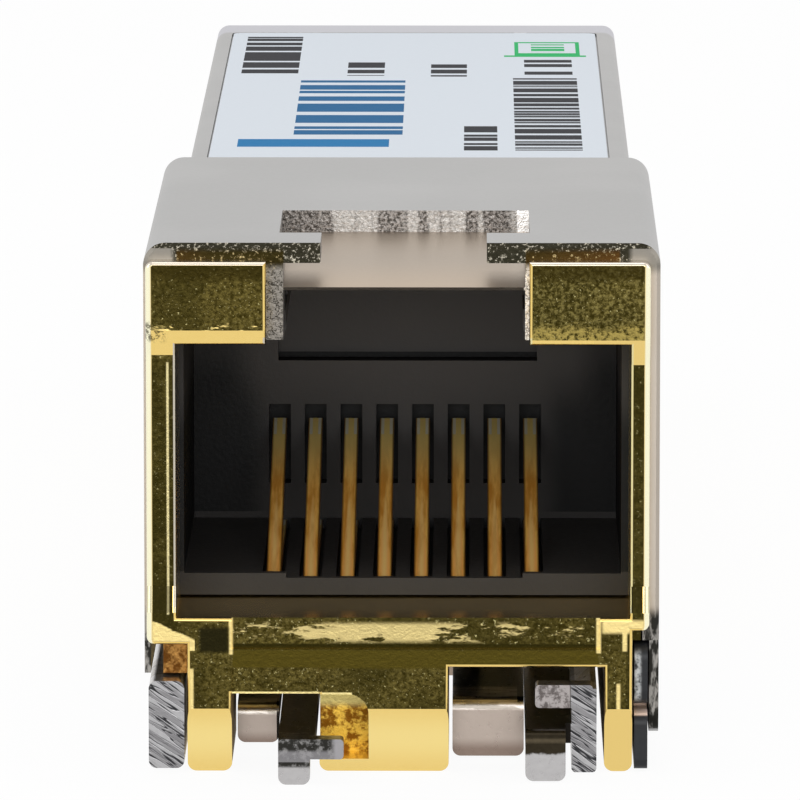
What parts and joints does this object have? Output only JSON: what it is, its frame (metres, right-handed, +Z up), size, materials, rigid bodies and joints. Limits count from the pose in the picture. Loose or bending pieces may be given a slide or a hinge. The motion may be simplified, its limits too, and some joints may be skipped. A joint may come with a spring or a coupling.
{
  "type": "copper SFP transceiver",
  "caption": "Pluggable copper transceiver: metal body with a socket for a network plug in front, a card edge at the rear and a sliding release underneath.",
  "frame": {"origin": "middle of the footprint, on the plane of the feet", "axes": "+Y from the port in front to the card edge at the rear, +X to the right seen from the port, +Z up"},
  "size_m": [0.014, 0.067, 0.0145],
  "materials": {
    "top_shell": "satin nickel plating on a zinc casting",
    "base_shell": "bright gold plating on a zinc casting",
    "jack_housing": "moulded black plastic",
    "jack_rear_insert": "moulded black plastic",
    "contacts": "gold-plated spring alloy",
    "circuit_board": "green solder mask",
    "edge_pads": "gold plating",
    "magnetics_front": "moulded black case",
    "magnetics_rear": "moulded black case",
    "large_chip": "moulded black case",
    "thermal_pad": "soft filled silicone",
    "memory_chip": "moulded black case",
    "crystal": "plated metal lid",
    "inductor": "pressed ferrite",
    "capacitors": "fired ceramic",
    "release_slide": "bright stainless steel with sheared ends",
    "slide_rivets": "stainless steel",
    "latch_lever": "stainless steel",
    "latch_pin": "ground stainless steel",
    "leaf_spring": "spring steel",
    "side_strip": "black rubber",
    "ground_collar": "thin stainless spring sheet",
    "cover_screws": "stainless steel",
    "label": "white coated paper"
  },
  "bodies": {
    "module": {"top_shell": "top_shell", "base_shell": "base_shell", "jack_housing": "jack_housing", "jack_rear_insert": "jack_rear_insert", "contact_1": "contacts", "contact_2": "contacts", "contact_3": "contacts", "contact_4": "contacts", "contact_5": "contacts", "contact_6": "contacts", "contact_7": "contacts", "contact_8": "contacts", "circuit_board": "circuit_board", "edge_pads": "edge_pads", "magnetics_front": "magnetics_front", "magnetics_rear": "magnetics_rear", "large_chip": "large_chip", "thermal_pad": "thermal_pad", "memory_chip": "memory_chip", "crystal": "crystal", "inductor": "inductor", "capacitors": "capacitors", "slide_rivets": "slide_rivets", "latch_pin": "latch_pin", "leaf_spring": "leaf_spring", "side_strip": "side_strip", "ground_collar": "ground_collar", "cover_screws": "cover_screws", "label": "label"},
    "slide": {"release_slide": "release_slide"},
    "lever": {"latch_lever": "latch_lever"}
  },
  "joints": [
    {"name": "release_pull", "type": "slide", "parent": "module", "child": "slide", "axis": [0, -1, 0], "range_m": [0, 0.002], "stiffness_N_per_m": 400},
    {"name": "latch_turn", "type": "hinge", "parent": "module", "child": "lever", "pos_m": [0, -0.0252, 0.0026], "axis": [1, 0, 0], "range_deg": [0, 2.1]}
  ],
  "couplings": [
    {"joint": "latch_turn", "follows": "release_pull", "rad_per_m": 17.9}
  ]
}
